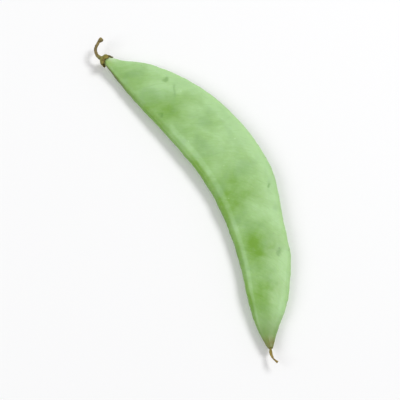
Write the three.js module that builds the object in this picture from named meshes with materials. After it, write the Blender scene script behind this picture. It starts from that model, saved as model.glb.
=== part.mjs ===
// A flat, sickle-shaped green bean pod with its calyx, stalk and dried style, as picked, lying on one
// face. Millimetres. +X runs along the chord from the stalk to the style, +Y towards the convex outer
// edge and +Z up. The pod rests on three small flat spots at z = 0, under three of its five seeds, and
// the origin is at the bottom centre of the box round everything.

import * as THREE from "three";

// Driving dimensions of the pod
const POD_LENGTH = 110; // straight from the neck to the end of the beak
const POD_HALF = 2.3; // half thickness at the broadest rib, between seeds
const EDGE_HALF = 1.5; // half thickness just inside the blunt edges
const EDGE_SHARE = 0.8; // of a thin rib's own half thickness, where that is less
const SEED_COUNT = 5;
const SEED_RISE = 0.6; // how far a seed swells each face
const SEED_LONG = 5.2; // spread of a swelling along the pod
const SEED_WIDE = 4.2; // and across it
const SEED_OFFSET = 0.14; // of the half width, from the middle towards the inner edge
const REST_CUT = 0.2; // how much of the three resting swellings is pressed flat
const FREE_SHARE = 0.75; // of the rise, under a seed that doesn't rest
const STEM_LEAN = 5; // degrees that the pod twists towards its neck, outer edge up
const TIP_LEAN = -4; // and towards its beak, outer edge down

// Driving dimensions of the dried pieces
const FIT_GAP = 0.2; // clear space between one piece and the next
const CALYX_WALL = 0.5;
const STALK_RADIUS = 0.43;
const STYLE_RADIUS = 0.4;

// The ribs cross the pod from the concave inner edge to the convex outer edge. Each has the x and y of
// its inner end, the x and y of its outer end, in hundredths of the pod's length, and its share of
// the half thickness.
const RIBS = [
  [0.5, -0.8, -0.5, 0.8, 0.46],
  [3.6, -0.1, 2.4, 4.4, 0.58],
  [10, 0.9, 7.1, 10.8, 0.77],
  [19, 2.5, 15, 17, 0.91],
  [30, 4.7, 25.8, 22.1, 0.98],
  [42, 6.8, 39, 25, 1],
  [53, 7.3, 53, 24.9, 1],
  [64, 6.3, 66, 20.9, 0.96],
  [75, 4, 78, 17, 0.94],
  [85, 1.1, 88.4, 10.9, 0.84],
  [93, -0.4, 95, 4.6, 0.62],
  [99, -0.5, 99.6, 0.7, 0.32],
];
const LAST_RIB = RIBS.length - 1;

// Places along the pod are counted in ribs, from 0 at the neck.
const FIRST_SEED = 3.5;
const LAST_SEED = 9.1;
const STEM_LIFT = { height: 1.6, from: 2.4, to: 0 }; // the neck rises clear of the surface
const TIP_LIFT = { height: 1.2, from: 9.6, to: LAST_RIB }; // and so does the beak
const STEM_TWIST = { from: 4, to: 0.5 };
const TIP_TWIST = { from: 7, to: 10.5 };

// The form of a rib's section
const SQUARENESS_PER_MM = 0.7; // by which a rib is blunter than an oval, for its half width
const CROWN_POWER = 1.5; // how fast the face's gentle crown falls away from the middle

// The form of an edge: a low ridge, then a shallow channel where the flat face begins. The rim is a
// share of the half width, in from the edge, and the seed-bearing edge has the broader one. Ridge and
// channel fade out towards the neck, from the rib at full to the one at from.
const INNER_RIM = { share: 0.34, ridge: 0.13, channel: 0.13, from: 1.5, full: 6 };
const OUTER_RIM = { share: 0.22, ridge: 0.08, channel: 0.08, from: 0.5, full: 3 };
const RIDGE_PLACE = 0.62; // in rims from the edge; the channel is one rim further in
const RIDGE_SPREAD = 0.32;
const CHANNEL_SPREAD = 0.4;
const OUTER_SEAM = 0.18; // the outer seam stands out as a fine keel
const INNER_SEAM = -0.15; // the inner one is a fine groove
const SEAM_SPREAD = 0.28;
const RELIEF_NO_WIDTH = 1.8; // a rib with this half width has no relief
const RELIEF_FULL_WIDTH = 6; // and one with this half width has it all

// The fineness of the solids
const RINGS_PER_RIB = 8;
const RING_POINTS = 36;
const CALYX_POINTS = 40;
const TUBE_SIDES = 10;

const SKIN = new THREE.MeshStandardMaterial({ color: 0x9cc47c, roughness: 0.5, metalness: 0 });
const DRY = new THREE.MeshStandardMaterial({ color: 0x7a6a3c, roughness: 0.85, metalness: 0 });
const STALK = new THREE.MeshStandardMaterial({ color: 0x6c6235, roughness: 0.8, metalness: 0 });
const THREAD = new THREE.MeshStandardMaterial({ color: 0x57503a, roughness: 0.85, metalness: 0 });

const innerEdge = new THREE.SplineCurve(RIBS.map((rib) => new THREE.Vector2(rib[0], rib[1])));
const outerEdge = new THREE.SplineCurve(RIBS.map((rib) => new THREE.Vector2(rib[2], rib[3])));
const thicknessShare = new THREE.SplineCurve(RIBS.map((rib, i) => new THREE.Vector2(i, rib[4])));

/** The rib at a place: its middle, its unit direction outwards, half its width and half thickness. */
function ribAt(place) {
  const share = place / LAST_RIB;
  const inner = innerEdge.getPoint(share).multiplyScalar(POD_LENGTH / 100);
  const outer = outerEdge.getPoint(share).multiplyScalar(POD_LENGTH / 100);
  const across = outer.clone().sub(inner);
  const halfWidth = across.length() / 2;
  return {
    middle: inner.add(outer).multiplyScalar(0.5),
    across: across.normalize(),
    halfWidth,
    half: POD_HALF * thicknessShare.getPoint(share).y,
  };
}

/** 0 at from, 1 at to and beyond, with a smooth step between. */
function blend(value, from, to) {
  const share = THREE.MathUtils.clamp((value - from) / (to - from), 0, 1);
  return share * share * (3 - 2 * share);
}

/** A smooth hump of height 1 at centre, and of nearly 0 two spreads away. */
function hump(value, centre, spread) {
  return Math.exp(-(((value - centre) / spread) ** 2));
}

const seeds = Array.from({ length: SEED_COUNT }, (_, i) => {
  const rib = ribAt(FIRST_SEED + ((LAST_SEED - FIRST_SEED) * i) / (SEED_COUNT - 1));
  const centre = rib.middle.clone().addScaledVector(rib.across, -SEED_OFFSET * rib.halfWidth);
  return { centre, across: rib.across, rests: i % 2 === 0 };
});

/** How far the seeds swell the face above or below the point. */
function seedRise(point, below) {
  return seeds.reduce((sum, seed) => {
    const from = point.clone().sub(seed.centre);
    const wide = hump(from.dot(seed.across), 0, SEED_WIDE);
    const long = hump(from.cross(seed.across), 0, SEED_LONG);
    const share = below && !seed.rests ? FREE_SHARE : 1;
    return sum + SEED_RISE * share * wide * long;
  }, 0);
}

/** The ridge and channel of the nearer edge. The side is -1 at the inner edge and 1 at the outer. */
function edgeRelief(place, side) {
  const rim = side < 0 ? INNER_RIM : OUTER_RIM;
  const inward = (1 - Math.abs(side)) / rim.share;
  const ridge = rim.ridge * hump(inward, RIDGE_PLACE, RIDGE_SPREAD);
  const channel = rim.channel * hump(inward, 1 + RIDGE_PLACE, CHANNEL_SPREAD);
  return (ridge - channel) * blend(place, rim.from, rim.full);
}

/** Height of the middle plane between the two faces. */
function middleHeight(place, half) {
  const stem = STEM_LIFT.height * blend(place, STEM_LIFT.from, STEM_LIFT.to);
  const tip = TIP_LIFT.height * blend(place, TIP_LIFT.from, TIP_LIFT.to);
  return half + SEED_RISE - REST_CUT + stem + tip;
}

/** How steeply a rib rises outwards, where the pod is twisted. */
function slope(place) {
  const stem = STEM_LEAN * blend(place, STEM_TWIST.from, STEM_TWIST.to);
  const tip = TIP_LEAN * blend(place, TIP_TWIST.from, TIP_TWIST.to);
  return Math.tan(THREE.MathUtils.degToRad(stem + tip));
}

/** A point of the pod's skin. The angle goes round the rib from its outer edge, over the top. */
function podPoint(place, angle, grow = 0) {
  const rib = ribAt(place);
  const side = Math.cos(angle);
  const top = Math.sin(angle) >= 0;
  const halfWidth = rib.halfWidth + grow;
  const half = rib.half + grow;
  const edge = Math.min(EDGE_HALF + grow, EDGE_SHARE * half);
  const round = Math.sqrt(1 - Math.abs(side) ** (2 + SQUARENESS_PER_MM * halfWidth));
  const relief = blend(halfWidth, RELIEF_NO_WIDTH, RELIEF_FULL_WIDTH);
  const seam = (side > 0 ? OUTER_SEAM : -INNER_SEAM) * hump(round * edge, 0, SEAM_SPREAD);
  const reach = halfWidth * side + relief * seam;
  const at = rib.middle.addScaledVector(rib.across, reach);
  const crown = (half - edge) * (1 - side * side) ** CROWN_POWER;
  const rims = relief * edgeRelief(place, side);
  const height = (edge + crown + rims + seedRise(at, !top)) * round;
  const z = middleHeight(place, rib.half) + slope(place) * reach + (top ? height : -height);
  return new THREE.Vector3(at.x, at.y, Math.max(z, 0));
}

/** A closed body through rings of as many points each, with a flat fan over the first and the last. */
function loft(name, rings, material) {
  const count = rings[0].length;
  const points = rings.flat();
  const faces = [];
  for (let r = 0; r + 1 < rings.length; r++) {
    for (let i = 0; i < count; i++) {
      const j = (i + 1) % count;
      const here = r * count;
      const next = here + count;
      faces.push(here + i, here + j, next + j, here + i, next + j, next + i);
    }
  }
  for (const [ring, turn] of [[0, false], [rings.length - 1, true]]) {
    const middle = new THREE.Vector3();
    rings[ring].forEach((point) => middle.addScaledVector(point, 1 / count));
    const centre = points.push(middle) - 1;
    for (let i = 0; i < count; i++) {
      const a = ring * count + i;
      const b = ring * count + ((i + 1) % count);
      faces.push(centre, ...(turn ? [a, b] : [b, a]));
    }
  }
  const geometry = new THREE.BufferGeometry().setFromPoints(points);
  geometry.setIndex(faces);
  geometry.computeVertexNormals();
  const mesh = new THREE.Mesh(geometry, material);
  mesh.name = name;
  return mesh;
}

/** Angles once round a ring. */
function turns(count) {
  return Array.from({ length: count }, (_, i) => (2 * Math.PI * i) / count);
}

function makePod() {
  const rings = Array.from({ length: LAST_RIB * RINGS_PER_RIB + 1 }, (_, i) =>
    turns(RING_POINTS).map((angle) => podPoint(i / RINGS_PER_RIB, angle)),
  );
  return loft("pod", rings, SKIN);
}

/** The middle of an end of the pod, and the way out of it. */
function podEnd(place, sign) {
  const rib = ribAt(place);
  const away = new THREE.Vector3(sign * rib.across.y, -sign * rib.across.x, 0);
  const middle = new THREE.Vector3(rib.middle.x, rib.middle.y, middleHeight(place, rib.half));
  return { middle, away, across: new THREE.Vector3(rib.across.x, rib.across.y, 0) };
}

const neck = podEnd(0, -1);
const beak = podEnd(LAST_RIB, 1);

const CALYX_FOOT = { out: 1.2, radius: 0.8 }; // its flat foot, out from the neck's end
const CALYX_SHOULDER = { out: 0.6, radius: 1.5 };
const CALYX_FLOOR_RADIUS = 0.7; // of the cup's floor, inside
const SEPALS = 5;
const SEPAL_NOTCH = 0.16; // how far along the pod the notches between the sepals reach, in ribs
const SEPAL_TIP = 0.4; // and the sepals' tips
const SEPAL_TAPER = 1.3; // above 1, the sepals are more pointed than a wave
const SEPAL_SHARES = [0, 0.25, 0.5, 0.75, 1]; // of a sepal's length, where its rings are

/** A ring square to the neck, this far out from the pod's end. */
function neckRing(out, radius) {
  return turns(CALYX_POINTS).map((angle) =>
    neck.middle.clone()
      .addScaledVector(neck.away, out)
      .addScaledVector(neck.across, radius * Math.cos(angle))
      .add(new THREE.Vector3(0, 0, radius * Math.sin(angle))),
  );
}

/** A ring that clasps the neck, a share of the way from its end to the sepals' cut rim. */
function sepalRing(share, grow) {
  return turns(CALYX_POINTS).map((angle) => {
    const sepal = Math.abs(Math.cos((SEPALS * angle) / 2)) ** SEPAL_TAPER;
    const rim = THREE.MathUtils.lerp(SEPAL_NOTCH, SEPAL_TIP, sepal);
    return podPoint(share * rim, angle, grow);
  });
}

function makeCalyx() {
  const inside = FIT_GAP;
  const outside = FIT_GAP + CALYX_WALL;
  return loft("calyx", [
    neckRing(CALYX_FOOT.out, CALYX_FOOT.radius),
    neckRing(CALYX_SHOULDER.out, CALYX_SHOULDER.radius),
    ...SEPAL_SHARES.map((share) => sepalRing(share, outside)),
    ...SEPAL_SHARES.toReversed().map((share) => sepalRing(share, inside)),
    neckRing(FIT_GAP, CALYX_FLOOR_RADIUS),
  ], DRY);
}

/** A closed round tube along a curve. radiusAt gives its radius at each share of the length. */
function tube(name, curve, steps, radiusAt, material) {
  const frames = curve.computeFrenetFrames(steps, false);
  const rings = Array.from({ length: steps + 1 }, (_, i) => {
    const centre = curve.getPointAt(i / steps);
    return turns(TUBE_SIDES).map((angle) =>
      centre.clone()
        .addScaledVector(frames.normals[i], radiusAt(i / steps) * Math.cos(angle))
        .addScaledVector(frames.binormals[i], radiusAt(i / steps) * Math.sin(angle)),
    );
  });
  return loft(name, rings, material);
}

/** A curve out of an end of the pod, through points given as way out, way across and rise. */
function curveFrom(end, route) {
  return new THREE.CatmullRomCurve3(route.map(([out, across, rise]) =>
    end.middle.clone()
      .addScaledVector(end.away, out)
      .addScaledVector(end.across, across)
      .add(new THREE.Vector3(0, 0, rise)),
  ));
}

const STALK_START = CALYX_FOOT.out + FIT_GAP;
const STALK_ROUTE = [
  [STALK_START, 0, 0],
  [STALK_START + 1.6, 0.3, 0.2],
  [STALK_START + 2.8, 1.6, 0.6],
  [STALK_START + 3.2, 3.6, 1.1],
  [STALK_START + 2.9, 5.4, 1.5],
];
const STALK_STEPS = 18;
const STALK_FOOT = { more: 0.5, at: 0, spread: 0.15 }; // it flares where it meets the calyx
const STALK_KNOT = { more: 0.7, at: 0.93, spread: 0.1 }; // and swells at the joint where it was picked

function makeStalk() {
  const swelling = (share, { more, at, spread }) => more * hump(share, at, spread);
  const radiusAt = (share) =>
    STALK_RADIUS * (1 + swelling(share, STALK_FOOT) + swelling(share, STALK_KNOT));
  return tube("stalk", curveFrom(neck, STALK_ROUTE), STALK_STEPS, radiusAt, STALK);
}

const STYLE_ROUTE = [
  [FIT_GAP, 0, 0],
  [1.6, 0.1, 0.1],
  [3.4, 0.7, 0.4],
  [4.8, 1.9, 0.8],
];
const STYLE_STEPS = 12;
const STYLE_TAPER = 0.4; // of its radius, lost by its tip

function makeStyle() {
  const radiusAt = (share) => STYLE_RADIUS * (1 - STYLE_TAPER * share);
  return tube("style", curveFrom(beak, STYLE_ROUTE), STYLE_STEPS, radiusAt, THREAD);
}

const pod = new THREE.Group();
pod.add(makePod(), makeCalyx(), makeStalk(), makeStyle());
const centre = new THREE.Box3().setFromObject(pod).getCenter(new THREE.Vector3());
pod.position.set(-centre.x, -centre.y, 0);

export default pod;
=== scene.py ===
"""A flat, sickle-shaped green bean pod with its calyx, stalk and dried style, lying on one face.

Lengths are in millimetres, in the frame of the pod's own outline, until a mesh is made. Places along
the pod are counted in ribs, from 0 at the neck to LAST_RIB at the end of the beak. Across the pod,
side is -1 at the inner edge, where the seeds hang, and 1 at the outer one.
"""
import math

import bpy
import numpy as np
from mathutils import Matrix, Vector, noise


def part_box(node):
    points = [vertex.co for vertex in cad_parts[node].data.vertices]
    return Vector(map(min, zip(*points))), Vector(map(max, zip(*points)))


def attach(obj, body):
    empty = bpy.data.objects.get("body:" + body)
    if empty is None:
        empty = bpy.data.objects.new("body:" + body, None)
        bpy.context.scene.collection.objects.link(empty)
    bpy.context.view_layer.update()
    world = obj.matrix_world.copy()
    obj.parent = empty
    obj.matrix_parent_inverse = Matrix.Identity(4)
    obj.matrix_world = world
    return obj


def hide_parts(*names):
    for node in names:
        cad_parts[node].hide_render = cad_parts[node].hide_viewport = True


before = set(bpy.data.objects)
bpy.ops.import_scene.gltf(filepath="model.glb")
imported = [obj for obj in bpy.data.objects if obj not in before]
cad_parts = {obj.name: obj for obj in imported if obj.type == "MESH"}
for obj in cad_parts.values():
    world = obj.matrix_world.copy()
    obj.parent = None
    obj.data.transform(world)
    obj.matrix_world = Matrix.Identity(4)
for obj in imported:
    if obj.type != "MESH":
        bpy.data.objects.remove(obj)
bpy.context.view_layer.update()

MM = 0.001  # in metres

# Driving dimensions, as in the solids
POD_LENGTH = 110  # straight from the neck to the end of the beak
POD_HALF = 2.3  # half thickness at the broadest rib, between seeds
EDGE_HALF = 1.5  # half thickness just inside the blunt edges
EDGE_SHARE = 0.8  # of a thin rib's own half thickness, where that is less
SEED_COUNT = 5
SEED_RISE = 0.6  # how far a seed swells each face
SEED_LONG = 5.2  # spread of a swelling along the pod
SEED_WIDE = 4.2  # and across it
SEED_OFFSET = 0.14  # of the half width, from the middle towards the inner edge
SEED_SHOW = (0.6, 0.35, 0.9, 0.75, 0.6)  # how plainly each seed shows through the skin
REST_CUT = 0.2  # how much of the resting swellings is pressed flat
FREE_SHARE = 0.75  # of the rise, under a seed that doesn't rest
STEM_LEAN = 5  # degrees that the pod twists towards its neck
TIP_LEAN = -4  # and towards its beak
FIRST_SEED = 3.5
LAST_SEED = 9.1
FIT_GAP = 0.2  # clear space between one piece and the next
CALYX_WALL = 0.5
STALK_RADIUS = 0.43
STYLE_RADIUS = 0.4

# Inner x and y and outer x and y in hundredths of the pod's length, and the share of the half thickness
RIBS = np.array([
    [0.5, -0.8, -0.5, 0.8, 0.46],
    [3.6, -0.1, 2.4, 4.4, 0.58],
    [10, 0.9, 7.1, 10.8, 0.77],
    [19, 2.5, 15, 17, 0.91],
    [30, 4.7, 25.8, 22.1, 0.98],
    [42, 6.8, 39, 25, 1],
    [53, 7.3, 53, 24.9, 1],
    [64, 6.3, 66, 20.9, 0.96],
    [75, 4, 78, 17, 0.94],
    [85, 1.1, 88.4, 10.9, 0.84],
    [93, -0.4, 95, 4.6, 0.62],
    [99, -0.5, 99.6, 0.7, 0.32],
])
LAST_RIB = len(RIBS) - 1
STEM_LIFT = {"height": 1.6, "start": 2.4, "end": 0}
TIP_LIFT = {"height": 1.2, "start": 9.6, "end": LAST_RIB}
STEM_TWIST = {"start": 4, "end": 0.5}
TIP_TWIST = {"start": 7, "end": 10.5}

# The form of a rib's section, with a low ridge and a shallow channel inside each edge
SQUARENESS_PER_MM = 0.7  # by which a rib is blunter than an oval, for its half width
CROWN_POWER = 1.5  # how fast the face's gentle crown falls away from the middle
INNER_RIM = {"share": 0.34, "ridge": 0.13, "channel": 0.13, "start": 1.5, "full": 6}
OUTER_RIM = {"share": 0.22, "ridge": 0.08, "channel": 0.08, "start": 0.5, "full": 3}
RIDGE_PLACE = 0.62  # in rims from the edge, and the channel is one rim further in
RIDGE_SPREAD = 0.32
CHANNEL_SPREAD = 0.4
OUTER_SEAM = 0.18  # the outer seam stands out as a fine keel
INNER_SEAM = -0.15  # and the inner one is a fine groove
SEAM_SPREAD = 0.28
RELIEF_NO_WIDTH = 1.8  # a rib with this half width has no relief
RELIEF_FULL_WIDTH = 6  # and one with this half width has it all

# The fineness of the meshes
POD_RINGS_PER_RIB = 44
POD_POINTS = 184
CALYX_POINTS = 160
STALK_RINGS = 150
STALK_POINTS = 40
STYLE_RINGS = 90
STYLE_POINTS = 24
LENGTH_STEPS_PER_RIB = 40

# Noise: how far apart two seeds' patterns lie, and what brings the plain noise to about -1 to 1
SEED_SHIFT = (17.3, 5.1, 9.7)
NOISE_GAIN = 1.6


def blend(value, start, end):
    """0 at start, 1 at end and beyond, with a smooth step between."""
    share = np.clip((value - start) / (end - start), 0, 1)
    return share * share * (3 - 2 * share)


def hump(value, centre, spread):
    """A smooth hump of height 1 at centre, and of nearly 0 two spreads away."""
    return np.exp(-(((value - centre) / spread) ** 2))


def uneven(points, size, seed):
    """Smooth noise from about -1 to 1 at each point, with bumps about as far apart as size."""
    shift = np.array(SEED_SHIFT) * seed
    flat = (points / size + shift).reshape(-1, 3)
    values = np.fromiter((noise.noise(point) for point in flat.tolist()), float, len(flat))
    return NOISE_GAIN * values.reshape(points.shape[:-1])


def bumps(points, height, size, seed, which=0):
    """Noise of about this height and size. which picks one of several that are alike."""
    return height * uneven(points, size, seed + which)


def spline(rows, place):
    """The row at each place, by a Catmull-Rom curve through the table's rows."""
    last = len(rows) - 1
    first = np.clip(np.asarray(place, float).astype(int), 0, last - 1)
    w = (place - first).reshape(first.shape + (1,) * (rows.ndim - 1))
    a, b, c, d = (rows[np.clip(first + step, 0, last)] for step in (-1, 0, 1, 2))
    leave = (c - a) / 2
    arrive = (d - b) / 2
    cubic = 2 * b - 2 * c + leave + arrive
    square = 3 * c - 3 * b - 2 * leave - arrive
    return ((cubic * w + square) * w + leave) * w + b


def rib_at(place):
    """Middle, unit direction outwards, half width and half thickness of the rib at each place."""
    row = spline(RIBS, place)
    inner = row[..., 0:2] * POD_LENGTH / 100
    outer = row[..., 2:4] * POD_LENGTH / 100
    width = np.linalg.norm(outer - inner, axis=-1)
    return (inner + outer) / 2, (outer - inner) / width[..., None], width / 2, POD_HALF * row[..., 4]


def seed_middles():
    """Middle of each seed, and the direction across the pod there."""
    middle, across, half_width, _ = rib_at(np.linspace(FIRST_SEED, LAST_SEED, SEED_COUNT))
    return list(zip(middle - SEED_OFFSET * half_width[:, None] * across, across))


SEEDS = seed_middles()


def over_seeds(points, heights, width=SEED_WIDE):
    """The sum of a smooth hump over each seed, at each x, y."""
    total = 0
    for (centre, across), height in zip(SEEDS, heights):
        away = points - centre
        wide = hump(away @ across, 0, width)
        long = hump(away[..., 0] * across[1] - away[..., 1] * across[0], 0, SEED_LONG)
        total = total + height * wide * long
    return total


def seed_rise(points, below):
    """How far the seeds swell the face. Every other seed rises less below."""
    lower = [SEED_RISE * (FREE_SHARE if i % 2 else 1) for i in range(SEED_COUNT)]
    return np.where(below, over_seeds(points, lower), over_seeds(points, [SEED_RISE] * SEED_COUNT))


def rim_relief(place, side, rim):
    """The ridge and the channel along one edge."""
    inward = (1 - np.abs(side)) / rim["share"]
    ridge = rim["ridge"] * hump(inward, RIDGE_PLACE, RIDGE_SPREAD)
    channel = rim["channel"] * hump(inward, 1 + RIDGE_PLACE, CHANNEL_SPREAD)
    return (ridge - channel) * blend(place, rim["start"], rim["full"])


def middle_height(place, half):
    """Height of the middle plane: the neck and the beak rise clear of the surface."""
    stem = STEM_LIFT["height"] * blend(place, STEM_LIFT["start"], STEM_LIFT["end"])
    tip = TIP_LIFT["height"] * blend(place, TIP_LIFT["start"], TIP_LIFT["end"])
    return half + SEED_RISE - REST_CUT + stem + tip


def slope(place):
    """How steeply a rib rises outwards, where the pod is twisted."""
    stem = STEM_LEAN * blend(place, STEM_TWIST["start"], STEM_TWIST["end"])
    tip = TIP_LEAN * blend(place, TIP_TWIST["start"], TIP_TWIST["end"])
    return np.tan(np.radians(stem + tip))


def pod_points(place, angle, grow=0.0):
    """Points of the smooth skin, and facts about them. The angle goes from the outer edge over the top."""
    middle, across, half_width, own_half = rib_at(place)
    half_width = half_width + grow
    half = own_half + grow
    side = np.cos(angle)
    below = np.sin(angle) < 0
    edge = np.minimum(EDGE_HALF + grow, EDGE_SHARE * half)
    bulge = np.sqrt(np.clip(1 - np.abs(side) ** (2 + SQUARENESS_PER_MM * half_width), 0, 1))
    relief = blend(half_width, RELIEF_NO_WIDTH, RELIEF_FULL_WIDTH)
    seam = np.where(side > 0, OUTER_SEAM, -INNER_SEAM) * hump(bulge * edge, 0, SEAM_SPREAD)
    reach = half_width * side + relief * seam
    flat = middle + reach[..., None] * across
    crown = (half - edge) * (1 - side * side) ** CROWN_POWER
    rims = np.where(side < 0, rim_relief(place, side, INNER_RIM), rim_relief(place, side, OUTER_RIM))
    rise = seed_rise(flat, below)
    height = (edge + crown + relief * rims + rise) * bulge
    z = middle_height(place, own_half) + slope(place) * reach + np.where(below, -height, height)
    facts = {
        "place": place,
        "side": side,
        "across": half_width * side,
        "face": bulge,
        "below": below.astype(float),
    }
    return np.concatenate([flat, np.maximum(z, 0)[..., None]], -1), facts


def outward(points):
    """Unit normals of a closed grid of rings."""
    around = np.roll(points, -1, 1) - np.roll(points, 1, 1)
    normal = np.cross(around, np.gradient(points, axis=0))
    return normal / np.maximum(np.linalg.norm(normal, axis=-1, keepdims=True), 1e-9)


def make_mesh(name, points, facts):
    """A closed, smooth mesh through a grid of rings, with a fan over each end, and a value at each point
    for each fact."""
    rings, count = points.shape[:2]
    vertices = np.vstack([points.reshape(-1, 3), points[0].mean(0), points[-1].mean(0)]) + SHIFT
    here = np.arange(count)
    after = (here + 1) % count
    starts = (np.arange(rings - 1) * count)[:, None]
    walls = [starts + here, starts + after, starts + count + after, starts + count + here]
    faces = np.stack(walls, -1).reshape(-1, 4).tolist()
    foot = rings * count
    last = foot - count
    faces += [(foot, j, i) for i, j in zip(here.tolist(), after.tolist())]
    faces += [(foot + 1, last + i, last + j) for i, j in zip(here.tolist(), after.tolist())]
    mesh = bpy.data.meshes.new(name)
    mesh.from_pydata((vertices * MM).tolist(), [], faces)
    for key, values in facts.items():
        grid = np.broadcast_to(values, (rings, count))
        flat = np.concatenate([grid.ravel(), [grid[0].mean(), grid[-1].mean()]])
        mesh.attributes.new(key, "FLOAT", "POINT").data.foreach_set("value", flat)
    mesh.shade_smooth()
    mesh.update()
    piece = bpy.data.objects.new(name, mesh)
    bpy.context.scene.collection.objects.link(piece)
    return piece


def solid_shift():
    """From the outline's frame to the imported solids' frame."""
    low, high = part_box("pod")
    place, angle = np.meshgrid(np.linspace(0, LAST_RIB, 12 * LAST_RIB + 1), [0, math.pi], indexing="ij")
    edges, _ = pod_points(place, angle)
    own = (edges.min((0, 1)) + edges.max((0, 1))) / 2
    there = (low + high) / 2 / MM
    return np.array([there.x - own[0], there.y - own[1], 0])


SHIFT = solid_shift()


# The pod


EDGE_CROWDING = 0.4  # from 0, for even steps, to 1


def crowded(count):
    """Angles once round, closer together at the two edges."""
    turn = np.arange(count) * 2 * math.pi / count
    return turn - EDGE_CROWDING * np.sin(2 * turn) / 2


VEIN_SPACING = 2.3
VEIN_SLANT = math.radians(48)  # from the pod's length, towards the outer edge
VEIN_HEIGHT = 0.04
VEIN_SHARPNESS = 3
VEIN_WANDER = {"height": 0.55, "size": 9, "seed": 7}  # in spacings
VEIN_WAVER = {"height": 0.22, "size": 3, "seed": 8}


def vein_phase(points, facts):
    """A count of the veins that slant over a face, with one at each whole number."""
    aside = facts["across"] * math.cos(VEIN_SLANT) - facts["along"] * math.sin(VEIN_SLANT)
    return aside / VEIN_SPACING + bumps(points, **VEIN_WANDER) + bumps(points, **VEIN_WAVER)


# Bruised spots, by their places along and across the upper face
MARKS = [
    {"along": 19.4, "across": 3.6, "long": 0.7, "wide": 1},
    {"along": 87.5, "across": 4.2, "long": 1.3, "wide": 0.8},
    {"along": 66.5, "across": 7, "long": 0.6, "wide": 0.4},
    {"along": 28, "across": -6.8, "long": 1, "wide": 0.4},
]
MARK_FRAY_ALONG = {"height": 0.5, "size": 1.4, "seed": 50}
MARK_FRAY_ACROSS = {"height": 0.5, "size": 1.4, "seed": 60}


def marks(points, facts):
    """Bruised spots on the upper face, from 0 to 1, with ragged outlines."""
    total = 0
    for i, mark in enumerate(MARKS):
        along = facts["along"] + bumps(points, **MARK_FRAY_ALONG, which=i)
        across = facts["across"] + bumps(points, **MARK_FRAY_ACROSS, which=i)
        spot = hump(along, mark["along"], mark["long"]) * hump(across, mark["across"], mark["wide"])
        total = total + spot
    return total * (1 - facts["below"])


CREASE = {"along": 21.8, "across": 4.2, "to_along": 27, "to_across": -0.2, "wide": 0.25, "deep": 0.08}
CREASE_WAVER = {"height": 0.2, "size": 1.8, "seed": 70}
CREASE_ENDS = (0.25, 0.4)  # of its length, over which it grows and fades


def crease(points, facts):
    """A fine fold across part of the upper face, from 0 to 1."""
    way = np.array([CREASE["to_along"] - CREASE["along"], CREASE["to_across"] - CREASE["across"]])
    length = np.linalg.norm(way)
    way = way / length
    along = facts["along"] - CREASE["along"]
    across = facts["across"] - CREASE["across"] + bumps(points, **CREASE_WAVER)
    down = along * way[0] + across * way[1]
    aside = along * way[1] - across * way[0]
    grows, fades = CREASE_ENDS
    ends = blend(down, 0, grows * length) * blend(down, length, (1 - fades) * length)
    return ends * hump(aside, 0, CREASE["wide"]) * (1 - facts["below"])


BAND_WIDE = 3 * SEED_WIDE  # the greener skin across the pod at each seed
PATCH_DRIFT = {"height": 1.8, "size": 7, "seed": 472}
PATCH_FRAY = {"height": 0.6, "size": 3, "seed": 40}


def drifted(points):
    """Where each point counts as lying for what shows of the seeds, so that their patches are ragged."""
    drift = [bumps(points, **PATCH_DRIFT, which=i) + bumps(points, **PATCH_FRAY, which=i) for i in (0, 1)]
    return points[..., :2] + np.stack(drift, -1)


FOLD_COUNT = 9
FOLD_WAVER = {"height": 1.6, "size": 2.4, "seed": 6}  # in radians
NECK_FOLDS = {"height": 0.07, "start": 1.5, "full": 0.2}
BEAK_FOLDS = {"height": 0.05, "start": 10.1, "full": 10.8}  # they fade again towards the very end


def folds(points, place, angle):
    """Fine folds along the neck and the beak, where the skin has shrunk."""
    wave = np.sin(FOLD_COUNT * angle + bumps(points, **FOLD_WAVER))
    at_neck = NECK_FOLDS["height"] * blend(place, NECK_FOLDS["start"], NECK_FOLDS["full"])
    at_beak = BEAK_FOLDS["height"] * blend(place, BEAK_FOLDS["start"], BEAK_FOLDS["full"])
    return wave * (at_neck + at_beak * blend(place, LAST_RIB, BEAK_FOLDS["full"]))


BROAD_WAVES = {"height": 0.1, "size": 13, "seed": 1}
DIMPLES = {"height": 0.06, "size": 5.5, "seed": 2}
PORES = {"height": 0.018, "size": 1.5, "seed": 3}
WARTS = {"height": 0.1, "size": 1.25, "seed": 4}
NOTCHES = {"height": 0.09, "size": 3.2, "seed": 5}
OTHER_VALVE = 40  # how far off the lower face's noise is, so that the two faces aren't alike
SEED_CALM = 0.75  # how much of the unevenness a seed stretches flat
WARTS_GROW = (0.8, 2.5)  # ribs between which they grow from nothing to their full height
NOTCHES_GROW = (LAST_RIB, 9.5)
RIM_GROWS = (0.97, 0.6)  # shares of the bulge, which is 1 on the flat face and 0 at a seam
VEINS_GROW = (0.8, 0.97)


def skin_relief(points, facts, angle):
    """How far the real skin stands out from the smooth one."""
    place = facts["place"]
    face = facts["face"]
    valve = points + facts["below"][..., None] * (0, 0, OTHER_VALVE)
    rim = blend(face, *RIM_GROWS)
    broad = bumps(valve, **BROAD_WAVES) + bumps(valve, **DIMPLES)
    calm = 1 - SEED_CALM * facts["seed"]
    warts = np.clip(bumps(points, **WARTS), 0, WARTS["height"]) * rim * blend(place, *WARTS_GROW)
    notches = bumps(points, **NOTCHES) * rim * blend(place, *NOTCHES_GROW)
    vein = VEIN_HEIGHT * (1 - np.abs(np.sin(np.pi * facts["vein"]))) ** VEIN_SHARPNESS
    raised = calm * broad + bumps(valve, **PORES) + warts + notches + folds(points, place, angle)
    return raised + vein * blend(face, *VEINS_GROW) - CREASE["deep"] * facts["crease"]


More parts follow.
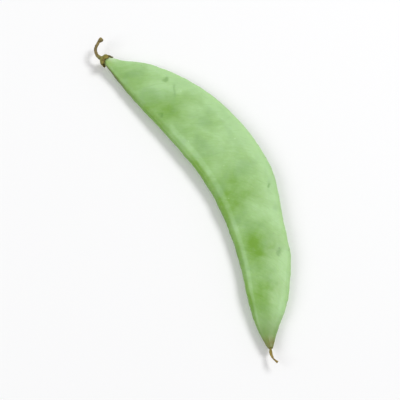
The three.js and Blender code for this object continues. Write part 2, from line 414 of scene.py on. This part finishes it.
BEAK_ROUNDING = [(0.88, 0.07), (0.65, 0.12), (0.35, 0.15)]  # share of the end's width, and way out of it


def rounded(points, facts):
    """The pod with a few more rings that round off the end of its beak."""
    middle = points[-1].mean(0)
    _, away, _ = pod_end(LAST_RIB, 1)
    more = [middle + share * (points[-1] - middle) + out * away for share, out in BEAK_ROUNDING]
    grids = {key: np.broadcast_to(values, points.shape[:2]) for key, values in facts.items()}
    facts = {key: np.concatenate([grid, np.repeat(grid[-1:], len(more), 0)]) for key, grid in grids.items()}
    return np.concatenate([points, more]), facts


def length_along(place):
    """Length of the pod's middle line from the neck to each place."""
    steps = np.linspace(0, LAST_RIB, LENGTH_STEPS_PER_RIB * LAST_RIB)
    middle, _, _, _ = rib_at(steps)
    lengths = np.cumsum(np.linalg.norm(np.diff(middle, axis=0), axis=1))
    return np.interp(place, steps, np.concatenate([[0], lengths]))


def make_pod():
    """The whole pod, its relief and what its finish reads."""
    places = np.linspace(0, LAST_RIB, POD_RINGS_PER_RIB * LAST_RIB + 1)
    place, angle = np.meshgrid(places, crowded(POD_POINTS), indexing="ij")
    points, facts = pod_points(place, angle)
    facts["along"] = length_along(place)
    facts["vein"] = vein_phase(points, facts)
    shown_at = drifted(points)
    facts["seed"] = over_seeds(shown_at, SEED_SHOW)
    facts["band"] = over_seeds(shown_at, SEED_SHOW, BAND_WIDE)
    facts["mark"] = marks(points, facts)
    facts["crease"] = crease(points, facts)
    points = points + outward(points) * skin_relief(points, facts, angle)[..., None]
    points[..., 2] = np.maximum(points[..., 2], 0)
    return make_mesh("pod_skin", *rounded(points, facts))


# The calyx


CALYX_FOOT = {"out": 1.2, "radius": 0.8}  # its flat foot, out from the neck's end
CALYX_SHOULDER = {"out": 0.6, "radius": 1.5}
CALYX_FLOOR_RADIUS = 0.7  # of the cup's floor, inside
SEPALS = 5
SEPAL_NOTCH = 0.16  # how far along the pod the notches between the sepals reach, in ribs
SEPAL_TIP = 0.4  # and the sepals' tips
SEPAL_TAPER = 1.3  # above 1, the sepals are more pointed than a wave
SEPAL_RINGS = 5
SEPAL_CURL = 0.22  # how far a sepal's tip curls off the pod
SEPAL_CURL_INSIDE = 0.8  # of that
SEPAL_THINNING = 0.45  # share of the wall that is lost by the rim
SEPAL_TEETH = [(0.05, 3, 1), (0.025, 17, 0), (0.02, 29, 2)]  # reach in ribs, number round, and turn
CALYX_FOLDS = {"count": 15, "height": 0.09, "full": 0.3}  # full at this share of the way to the rim
CALYX_FOLD_WAVER = {"height": 1.2, "size": 1.6, "seed": 11}  # in radians
CALYX_ROUGHNESS = {"height": 0.1, "size": 0.8, "seed": 12}
FINE_RINGS = 8  # of the calyx's skin, between two of the solid's rings


def pod_end(place, sign):
    """Middle of an end of the pod, the way out of it and the way across it."""
    middle, across, _, half = rib_at(np.array(float(place)))
    return (
        np.array([*middle, middle_height(place, half)]),
        np.array([sign * across[1], -sign * across[0], 0]),
        np.array([*across, 0]),
    )


NECK = pod_end(0, -1)
BEAK = pod_end(LAST_RIB, 1)


def neck_ring(angle, out, radius):
    """A ring square to the neck, this far out from the pod's end."""
    middle, away, across = NECK
    ring = np.outer(np.cos(angle), across) + np.outer(np.sin(angle), (0, 0, 1))
    return middle + out * away + radius * ring


def sepal_rings(angle, grow):
    """Rings from the neck's end to the ragged rim of the sepals, standing off the pod by grow."""
    sepal = np.abs(np.cos(SEPALS * angle / 2)) ** SEPAL_TAPER
    ragged = sum(reach * np.cos(count * angle + turn) for reach, count, turn in SEPAL_TEETH)
    rim = SEPAL_NOTCH + (SEPAL_TIP - SEPAL_NOTCH) * sepal + ragged
    share = np.linspace(0, 1, SEPAL_RINGS)[:, None]
    stand_off = grow(share, sepal)
    points, _ = pod_points(share * rim, np.broadcast_to(angle, (SEPAL_RINGS, len(angle))), stand_off)
    return points


def finer(rings):
    """The rings with more of them in between, along smooth lines."""
    return spline(rings, np.linspace(0, len(rings) - 1, FINE_RINGS * (len(rings) - 1) + 1))


def sepal_curl(share, sepal):
    return SEPAL_CURL * share**3 * sepal


def calyx_outside(share, sepal):
    """How far the sepals' outer skin stands off the pod."""
    return FIT_GAP + CALYX_WALL * (1 - SEPAL_THINNING * share**2) + sepal_curl(share, sepal)


def calyx_inside(share, sepal):
    """How far their inner skin does."""
    return FIT_GAP + SEPAL_CURL_INSIDE * sepal_curl(share, sepal)


def make_calyx():
    """A shrivelled cup with folded walls, and sepals whose torn tips curl off the pod."""
    angle = np.arange(CALYX_POINTS) * 2 * math.pi / CALYX_POINTS
    foot = neck_ring(angle, **CALYX_FOOT)
    shoulder = neck_ring(angle, **CALYX_SHOULDER)
    floor = neck_ring(angle, FIT_GAP, CALYX_FLOOR_RADIUS)
    outer = finer(np.stack([foot, shoulder, *sepal_rings(angle, calyx_outside)]))
    inner = finer(np.stack([*sepal_rings(angle, calyx_inside)[::-1], floor]))
    wave = np.cos(CALYX_FOLDS["count"] * angle + bumps(outer, **CALYX_FOLD_WAVER))
    relief = CALYX_FOLDS["height"] * wave + bumps(outer, **CALYX_ROUGHNESS)
    along = np.linspace(0, 1, len(outer))[:, None]
    outer = outer + outward(outer) * (relief * blend(along, 0, CALYX_FOLDS["full"]))[..., None]
    points = np.concatenate([outer, inner])
    rim = np.concatenate([along, np.linspace(1, 0, len(inner))[:, None]])
    return make_mesh("dried_calyx", points, {"rim": rim})


# The stalk and the style


def route_from(end, steps):
    """A route out of an end of the pod, through steps given as way out, way across and rise."""
    middle, away, across = end
    return np.array([middle + out * away + side * across + (0, 0, rise) for out, side, rise in steps])


def tube_points(route, ring_count, count, radius):
    """Rings round a smooth line through the route's points. radius gives it for a share and an angle."""
    line = spline(route, np.linspace(0, len(route) - 1, ring_count))
    ahead = np.gradient(line, axis=0)
    ahead /= np.linalg.norm(ahead, axis=1, keepdims=True)
    beside = [np.cross(ahead[0], (0, 0, 1))]
    for way in ahead[1:]:
        turned = beside[-1] - way * np.dot(beside[-1], way)
        beside.append(turned / np.linalg.norm(turned))
    beside = np.array(beside)
    above = np.cross(ahead, beside)
    angle = np.arange(count) * 2 * math.pi / count
    share = np.linspace(0, 1, ring_count)[:, None]
    out = np.cos(angle)[:, None] * beside[:, None] + np.sin(angle)[:, None] * above[:, None]
    return line[:, None] + radius(share, angle)[..., None] * out, share


STALK_START = CALYX_FOOT["out"] + FIT_GAP
STALK_STEPS = [
    (STALK_START, 0, 0),
    (STALK_START + 1.6, 0.3, 0.2),
    (STALK_START + 2.8, 1.6, 0.6),
    (STALK_START + 3.2, 3.6, 1.1),
    (STALK_START + 2.9, 5.4, 1.5),
]
STALK_FOOT = {"more": 0.5, "at": 0, "spread": 0.15}  # it flares where it meets the calyx
STALK_KNOT = {"more": 0.7, "at": 0.93, "spread": 0.1}  # and swells at the joint where it was picked
STALK_RIDGES = [(0.1, 5, 5), (0.05, 11, -7)]  # share of the radius, number round, and radians of twist
STALK_ROUGHNESS = {"height": 0.06, "size": 0.9, "seed": 21}
STALK_GRAIN = {"height": 0.035, "size": 0.35, "seed": 22}
STYLE_STEPS = [
    (FIT_GAP, 0, 0),
    (1.6, 0.1, 0.1),
    (3.4, 0.7, 0.4),
    (4.8, 1.9, 0.8),
]
STYLE_TAPER = 0.4  # of its radius, lost by its tip
STYLE_FLATNESS = 0.3
STYLE_TWIST = 4  # radians from end to end
STYLE_KNOB = {"more": 0.25, "at": 1, "spread": 0.06}
STYLE_ROUGHNESS = {"height": 0.04, "size": 0.7, "seed": 31}


def swelling(share, more, at, spread):
    """How much thicker a tube is at each share of its length."""
    return more * hump(share, at, spread)


def make_stalk():
    """A shrivelled, ridged stalk with a flared foot and the knobbly joint at which it was picked."""

    def radius(share, angle):
        form = 1 + swelling(share, **STALK_FOOT) + swelling(share, **STALK_KNOT)
        ridges = sum(depth * np.cos(count * angle + twist * share) for depth, count, twist in STALK_RIDGES)
        return STALK_RADIUS * (form + ridges)

    points, share = tube_points(route_from(NECK, STALK_STEPS), STALK_RINGS, STALK_POINTS, radius)
    rough = bumps(points, **STALK_ROUGHNESS) + bumps(points, **STALK_GRAIN)
    points = points + outward(points) * rough[..., None]
    return make_mesh("dried_stalk", points, {"share": share})


def make_style():
    """The thread that is left of the flower: flattened, twisted and thinner towards its tip."""

    def radius(share, angle):
        flattened = 1 - STYLE_FLATNESS * np.cos(2 * (angle + STYLE_TWIST * share))
        return STYLE_RADIUS * (1 - STYLE_TAPER * share) * flattened * (1 + swelling(share, **STYLE_KNOB))

    points, share = tube_points(route_from(BEAK, STYLE_STEPS), STYLE_RINGS, STYLE_POINTS, radius)
    points = points + outward(points) * bumps(points, **STYLE_ROUGHNESS)[..., None]
    return make_mesh("dried_style", points, {"share": share})


# The colours and finishes


def srgb(red, green, blue):
    """A screen colour of 0 to 255 as the linear colour that the shader takes."""
    shares = (red / 255, green / 255, blue / 255)
    return (*(c / 12.92 if c <= 0.04045 else ((c + 0.055) / 1.055) ** 2.4 for c in shares), 1)


class Finish:
    """A material whose nodes are added one by one."""

    def __init__(self, name):
        self.material = bpy.data.materials.new(name)
        self.material.use_nodes = True
        self.nodes = self.material.node_tree.nodes
        self.links = self.material.node_tree.links
        self.shader = self.nodes["Principled BSDF"]
        self.where = self.nodes.new("ShaderNodeTexCoord").outputs["Object"]

    def feed(self, value, socket):
        """Links a node's output to the socket, or sets a plain value on it."""
        if isinstance(value, bpy.types.NodeSocket):
            self.links.new(value, socket)
        else:
            socket.default_value = value

    def texture(self, kind, size, where):
        """A texture node with features of this size, in millimetres. where is a vector, also in them."""
        node = self.nodes.new(kind)
        self.feed(self.where if where is None else where, node.inputs["Vector"])
        node.inputs["Scale"].default_value = 1 / (size * MM) if where is None else 1 / size
        return node

    def noise(self, size, detail=2, roughness=0.5, distortion=0.0, where=None):
        """Noise from 0 to 1 with features of this size."""
        node = self.texture("ShaderNodeTexNoise", size, where)
        node.inputs["Detail"].default_value = detail
        node.inputs["Roughness"].default_value = roughness
        node.inputs["Distortion"].default_value = distortion
        return node.outputs["Fac"]

    def cells(self, size, where=None):
        """Distance from the nearest of scattered points, in cells of this size."""
        return self.texture("ShaderNodeTexVoronoi", size, where).outputs["Distance"]

    def fact(self, name):
        """A value that the mesh carries at each point."""
        node = self.nodes.new("ShaderNodeAttribute")
        node.attribute_name = name
        return node.outputs["Fac"]

    def vector(self, x, y, z=0.0):
        node = self.nodes.new("ShaderNodeCombineXYZ")
        for value, socket in zip((x, y, z), node.inputs):
            self.feed(value, socket)
        return node.outputs["Vector"]

    def step(self, value, start, end, low=0.0, high=1.0):
        """low where the value is at start, high where it is at end, and smooth between."""
        node = self.nodes.new("ShaderNodeMapRange")
        node.interpolation_type = "SMOOTHSTEP"
        self.feed(value, node.inputs["Value"])
        if start > end:
            start, end, low, high = end, start, high, low
        node.inputs["From Min"].default_value = start
        node.inputs["From Max"].default_value = end
        node.inputs["To Min"].default_value = low
        node.inputs["To Max"].default_value = high
        return node.outputs["Result"]

    def maths(self, operation, *values):
        """The result of one sum on one or two values."""
        node = self.nodes.new("ShaderNodeMath")
        node.operation = operation
        for value, socket in zip(values, node.inputs):
            self.feed(value, socket)
        return node.outputs[0]

    def times(self, a, b, *more):
        product = self.maths("MULTIPLY", a, b)
        return self.times(product, *more) if more else product

    def plus(self, a, b, *more):
        total = self.maths("ADD", a, b)
        return self.plus(total, *more) if more else total

    def mix(self, share, a, b):
        """Colour a where the share is 0, and b where it is 1."""
        node = self.nodes.new("ShaderNodeMix")
        node.data_type = "RGBA"
        self.feed(share, node.inputs["Factor"])
        self.feed(a, node.inputs[6])
        self.feed(b, node.inputs[7])
        return node.outputs[2]

    def bump(self, height, distance, strength=1.0, under=None):
        """A bump of the height, at this distance in millimetres."""
        node = self.nodes.new("ShaderNodeBump")
        node.inputs["Distance"].default_value = distance * MM
        node.inputs["Strength"].default_value = strength
        self.feed(height, node.inputs["Height"])
        if under is not None:
            self.feed(under, node.inputs["Normal"])
        return node.outputs["Normal"]

    def set(self, **inputs):
        """Sets the shader's own inputs, by their names with _ for a space."""
        for name, value in inputs.items():
            self.feed(value, self.shader.inputs[name.replace("_", " ")])


FAR_OFF = 50.0  # how far apart the two faces' patterns lie, so that they aren't alike


class SkinFinish(Finish):
    """The pod's finish, with the facts and the noises that several of its colours share."""

    def __init__(self):
        super().__init__("pod_skin_finish")
        self.face = self.fact("face")
        self.side = self.fact("side")
        self.place = self.fact("place")
        self.along = self.fact("along")
        self.across = self.fact("across")
        self.below = self.times(self.fact("below"), FAR_OFF)
        self.flow = self.vector(self.along, self.across, self.below)
        self.mottle = self.noise(2, detail=6, roughness=0.62)
        self.patch = self.noise(6, detail=4, distortion=0.6, where=self.with_the_veins(0.7))
        self.fibres = self.noise(0.5, detail=3, roughness=0.6, where=self.with_the_veins(0.2))

    def with_the_veins(self, stretch):
        """A place on the skin for patterns that are drawn out along the veins."""
        cos, sin = math.cos(VEIN_SLANT), math.sin(VEIN_SLANT)
        down = self.plus(self.times(self.along, cos), self.times(self.across, sin))
        over = self.plus(self.times(self.across, cos), self.times(self.along, -sin))
        return self.vector(self.times(down, stretch), over, self.below)


DEEP_GREEN = srgb(118, 164, 58)
BLOOM = srgb(171, 210, 147)
DUSK = srgb(122, 162, 112)
# a painted highlight along the outer edge
PAINTED_EDGE_HIGHLIGHT = srgb(178, 220, 150)
# the blunt edges' own deeper green, with painted shade in it
EDGE_GREEN_AND_SHADE = srgb(112, 156, 62)
VEIN_GREEN = srgb(118, 166, 84)
BRUISE = srgb(96, 142, 62)
# painted shade in the crease's fold
CREASE_SHADE = srgb(112, 152, 92)
# painted light on the neck's inner half, and a painted reflection on its outer half
NECK_INNER_LIT = srgb(162, 194, 106)
NECK_OUTER_REFLECTION = srgb(202, 222, 182)
NECK_BROWN = srgb(88, 84, 36)
BEAK_GREEN = srgb(116, 148, 76)
BEAK_BROWN = srgb(118, 112, 46)
SCUFF = srgb(120, 108, 52)
SPECK = srgb(96, 112, 58)
# painted glints on tiny bumps
PAINTED_GLINT = srgb(198, 228, 176)


def bloom_and_painted_light(f):
    """How thickly the bloom lies, from 0 to 1, with painted light and shade mixed in. It is thin over the
    seeds and by the inner edge, where painted shade darkens it too.
    """
    seeds = f.times(f.fact("seed"), f.step(f.patch, 0.3, 0.7, low=-0.32, high=-0.1))
    bands = f.step(f.fact("band"), 0, 1, low=0.1, high=-0.13)
    clouds = f.noise(13, detail=1, distortion=0.4, where=f.flow)
    # Painted light: the outer half is paler towards the neck and darker towards the beak.
    painted_light_outer_half = f.times(f.step(f.place, 4, 9, low=0.12, high=-0.12), f.step(f.side, -0.6, 0.1))
    # The inner rim's ridge: paler bloom there, and a painted highlight on its crest.
    ridge = f.times(f.step(f.side, -0.66, -0.74), f.step(f.side, -0.9, -0.82), f.step(f.place, 3, 4.6))
    return f.plus(
        # Paler towards the outer edge: thicker bloom there, and painted light on the side that the light
        # falls on.
        f.step(f.side, -0.6, 0.8, low=0.37, high=0.68),
        f.step(f.side, 0.45, 0.75, high=0.2),
        # Darker by the inner edge: thinner bloom there, and painted shade on that edge.
        f.step(f.side, -0.8, -0.92, high=-0.32),
        seeds,
        bands,
        # painted light along the outer half
        painted_light_outer_half,
        f.step(clouds, 0.25, 0.75, low=-0.15, high=0.17),
        f.step(f.patch, 0.2, 0.8, low=-0.2, high=0.2),
        f.step(f.mottle, 0.2, 0.8, low=-0.09, high=0.09),
        f.step(f.fibres, 0.2, 0.8, low=-0.06, high=0.06),
        # painted highlight and paler bloom on the inner rim's ridge
        f.times(ridge, f.step(f.patch, 0.3, 0.6, low=0.1, high=0.26)),
    )


def edge_colours(f, colour):
    """Dusky clouds, a painted highlight along the outer edge, and darker green on the blunt faces of both
    edges: their own deeper green, and painted shade, strongest on the inner one.
    """
    dusk = f.noise(7, detail=2, roughness=0.5, distortion=0.5, where=f.flow)
    colour = f.mix(f.times(f.step(dusk, 0.45, 0.75), 0.3), colour, DUSK)
    # Painted highlight: a pale band just inside the outer edge, where the light catches it.
    painted_edge_highlight = f.times(f.step(f.side, 0.8, 0.93), f.step(f.place, 0.4, 2), 0.35)
    colour = f.mix(painted_edge_highlight, colour, PAINTED_EDGE_HIGHLIGHT)
    # Darker green on the blunt faces of both edges, strongest on the inner one: their own deeper green, and
    # painted shade.
    blunt = f.times(f.step(f.face, 0.75, 0.25), f.step(f.side, 0.5, -0.5, low=0.15, high=0.6))
    return f.mix(blunt, colour, EDGE_GREEN_AND_SHADE)


def vein_colours(f, colour):
    """Broken veins, bruises, and painted shade along a crease."""
    off_vein = f.maths("ABSOLUTE", f.maths("SINE", f.times(f.fact("vein"), math.pi)))
    vein = f.times(f.step(off_vein, 0.3, 0.0), f.step(f.face, 0.85, 0.97), f.step(f.mottle, 0.4, 0.6))
    colour = f.mix(f.times(vein, 0.22), colour, VEIN_GREEN)
    ragged = f.times(f.noise(0.7, detail=4, roughness=0.7), 0.8)
    bruise = f.step(f.plus(f.fact("mark"), ragged), 0.45, 1.25)
    colour = f.mix(f.times(bruise, 0.5), colour, BRUISE)
    # Painted shade: darker along the fold of the crease.
    return f.mix(f.times(f.fact("crease"), 0.4), colour, CREASE_SHADE)


def end_colours(f, colour):
    """A neck painted pale with light, palest on its outer half with a painted reflection, browned along its
    inner edge, and a dull beak with a browned end.
    """
    # Painted light: the neck is painted paler where strong light and a reflection fall on it, most on its
    # outer half.
    neck = f.times(f.step(f.place, 1.2, 0.3), 0.8)
    colour = f.mix(neck, colour, f.mix(f.step(f.side, -0.5, 0.5), NECK_INNER_LIT, NECK_OUTER_REFLECTION))
    browned = f.times(f.step(f.place, 3.2, 0.9), f.step(f.side, -0.88, -0.985), 0.85)
    colour = f.mix(browned, colour, NECK_BROWN)
    colour = f.mix(f.step(f.place, 9.3, 10.3, high=0.8), colour, BEAK_GREEN)
    near_end = f.step(f.place, LAST_RIB - 0.8, LAST_RIB - 0.15)
    return f.mix(f.times(near_end, f.step(f.mottle, 0.3, 0.6, low=0.65)), colour, BEAK_BROWN)


def blemish_colours(f, colour):
    """Brown scuffs on the blunt edges, dark specks, and small pale spots that are painted glints."""
    worn = f.step(f.noise(0.8, detail=4, roughness=0.7), 0.58, 0.68)
    scuffs = f.times(worn, f.step(f.patch, 0.48, 0.6), f.step(f.face, 0.75, 0.25), 0.7)
    colour = f.mix(scuffs, colour, SCUFF)
    torn = f.plus(f.cells(3.6), f.times(f.noise(0.5, detail=2), 0.1))
    specks = f.times(f.step(torn, 0.13, 0.07), f.step(f.noise(9), 0.5, 0.62), 0.5)
    colour = f.mix(specks, colour, SPECK)
    # Painted highlights: small pale spots as glints on tiny bumps.
    frayed = f.plus(f.cells(4.4, f.vector(f.across, f.along)), f.times(f.noise(0.4, detail=3), 0.16))
    painted_glints = f.times(f.step(frayed, 0.16, 0.1), f.step(f.patch, 0.45, 0.6), 0.45)
    return f.mix(painted_glints, colour, PAINTED_GLINT)


def pod_finish():
    """Satin green skin under a pale bloom, with painted light and shade in its colour."""
    f = SkinFinish()
    bloom_and_light = bloom_and_painted_light(f)
    # The bloom's share also carries painted light and shade.
    colour = f.mix(bloom_and_light, DEEP_GREEN, BLOOM)
    for more_colours in (edge_colours, vein_colours, end_colours, blemish_colours):
        colour = more_colours(f, colour)
    relief = f.bump(f.noise(2.2, detail=3), 0.16, 0.5, under=f.bump(f.fibres, 0.04, 0.5))
    grain = f.noise(0.35, detail=3, roughness=0.6)
    f.set(
        Base_Color=colour,
        Roughness=f.step(f.plus(bloom_and_light, f.times(f.mottle, 0.5)), 0.1, 1.3, low=0.36, high=0.55),
        Normal=f.bump(grain, 0.04, 0.7, under=relief),
    )
    f.set(Specular_IOR_Level=0.45, Subsurface_Weight=0.12, Subsurface_Scale=0.001)
    f.set(Subsurface_Radius=(0.8, 1.2, 0.4))
    return f.material


def calyx_finish():
    """Dry papery sepals, olive brown with paler ridges and dark torn rims."""
    f = Finish("dry_calyx_finish")
    rim = f.fact("rim")
    blotch = f.noise(1.4, detail=4, roughness=0.6)
    fibre = f.noise(0.22, detail=3, roughness=0.6)
    colour = f.mix(f.step(blotch, 0.35, 0.65), srgb(100, 90, 40), srgb(148, 138, 66))
    colour = f.mix(f.times(f.step(rim, 0.45, 0.1), 0.6), colour, srgb(140, 146, 70))
    colour = f.mix(f.times(f.step(rim, 0.78, 1.0), 0.7), colour, srgb(80, 62, 30))
    colour = f.mix(f.times(f.step(fibre, 0.4, 0.7), 0.35), colour, srgb(176, 162, 96))
    f.set(Base_Color=colour, Roughness=f.step(blotch, 0.3, 0.7, low=0.6, high=0.85))
    f.set(Normal=f.bump(fibre, 0.05, 0.8, under=f.bump(blotch, 0.1, 0.6)), Specular_IOR_Level=0.25)
    return f.material


def stalk_finish():
    """Shrivelled olive-brown stalk with paler fibres, greener by the calyx, and a pale fibrous cut end."""
    f = Finish("dry_stalk_finish")
    share = f.fact("share")
    blotch = f.noise(1.2, detail=4, roughness=0.6)
    fibre = f.noise(0.2, detail=3, roughness=0.65)
    colour = f.mix(f.step(blotch, 0.35, 0.65), srgb(98, 84, 48), srgb(142, 126, 80))
    colour = f.mix(f.times(f.step(share, 0.3, 0.0), 0.55), colour, srgb(124, 132, 70))
    colour = f.mix(f.times(f.step(fibre, 0.42, 0.7), 0.4), colour, srgb(164, 150, 108))
    colour = f.mix(f.step(share, 0.985, 1.0), colour, srgb(188, 176, 132))
    f.set(Base_Color=colour, Roughness=f.step(blotch, 0.3, 0.7, low=0.6, high=0.85))
    f.set(Normal=f.bump(fibre, 0.06, 0.8), Specular_IOR_Level=0.25)
    return f.material


def style_finish():
    """Dried thread, olive at its root and paler and browner towards its tip."""
    f = Finish("dry_style_finish")
    share = f.fact("share")
    blotch = f.noise(0.9, detail=4, roughness=0.6)
    colour = f.mix(share, srgb(132, 122, 50), srgb(164, 140, 78))
    colour = f.mix(f.times(f.step(blotch, 0.45, 0.7), 0.6), colour, srgb(84, 64, 32))
    f.set(Base_Color=colour, Roughness=f.step(blotch, 0.3, 0.7, low=0.5, high=0.8))
    f.set(Normal=f.bump(f.noise(0.25, detail=3), 0.04, 0.8), Specular_IOR_Level=0.3)
    return f.material


def dress(piece, node, finish):
    """Puts a piece in the place of its solid, with its finish."""
    piece.data.materials.append(finish)
    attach(piece, "root")
    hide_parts(node)


dress(make_pod(), "pod", pod_finish())
dress(make_calyx(), "calyx", calyx_finish())
dress(make_stalk(), "stalk", stalk_finish())
dress(make_style(), "style", style_finish())


# The surface, the lights and the camera, in metres


FLOOR_HALF = 3.0
FLOOR_COLOUR = (0.93, 0.93, 0.935, 1)
SKY_STRENGTH = 0.43
KEY_LIGHT = {"name": "key", "place": (-0.1, 0.8, 0.95), "size": 0.5, "power": 8.6}
FILL_LIGHT = {"name": "fill", "place": (-0.1, -0.9, 0.8), "size": 0.8, "power": 5}
CAMERA_AZIMUTH = 63.3  # degrees, at which the pod's chord slants on the screen as in the photograph
CAMERA_ELEVATION = 60
FOCAL_LENGTH = 200  # of the lens, in millimetres
SENSOR_WIDTH = 36
FRAMED_HEIGHT = 118  # of the subject's plane, in millimetres
LOOK_AT = (0.003, -0.009, 0.002)  # the middle of what shows of the pod
NEAREST_SEEN = 0.01


def make_floor():
    mesh = bpy.data.meshes.new("floor")
    corners = [(x * FLOOR_HALF, y * FLOOR_HALF, 0) for x, y in ((-1, -1), (1, -1), (1, 1), (-1, 1))]
    mesh.from_pydata(corners, [], [(0, 1, 2, 3)])
    floor = bpy.data.objects.new("floor", mesh)
    bpy.context.scene.collection.objects.link(floor)
    f = Finish("floor_finish")
    f.set(Base_Color=FLOOR_COLOUR, Roughness=0.9, Specular_IOR_Level=0.1)
    mesh.materials.append(f.material)


def aim(thing, place, target):
    """Puts a light or a camera in its place, looking at the target."""
    thing.location = place
    thing.rotation_euler = (Vector(target) - Vector(place)).to_track_quat("-Z", "Y").to_euler()
    bpy.context.scene.collection.objects.link(thing)


def make_light(name, place, size, power):
    lamp = bpy.data.lights.new(name, "AREA")
    lamp.shape = "DISK"
    lamp.size = size
    lamp.energy = power
    aim(bpy.data.objects.new(name, lamp), place, (0, 0, 0))


def make_sky():
    world = bpy.data.worlds.new("studio")
    world.use_nodes = True
    background = world.node_tree.nodes["Background"]
    background.inputs["Color"].default_value = (1, 1, 1, 1)
    background.inputs["Strength"].default_value = SKY_STRENGTH
    bpy.context.scene.world = world


def make_camera():
    lens = bpy.data.cameras.new("camera")
    lens.lens = FOCAL_LENGTH
    lens.sensor_width = SENSOR_WIDTH
    lens.clip_start = NEAREST_SEEN
    distance = FRAMED_HEIGHT * MM * FOCAL_LENGTH / SENSOR_WIDTH
    a = math.radians(CAMERA_AZIMUTH)
    e = math.radians(CAMERA_ELEVATION)
    back = Vector((math.sin(a) * math.cos(e), -math.cos(a) * math.cos(e), math.sin(e)))
    camera = bpy.data.objects.new("camera", lens)
    aim(camera, Vector(LOOK_AT) + back * distance, LOOK_AT)
    bpy.context.scene.camera = camera


make_floor()
make_sky()
make_light(**KEY_LIGHT)
make_light(**FILL_LIGHT)
make_camera()
bpy.context.scene.view_settings.view_transform = "Standard"
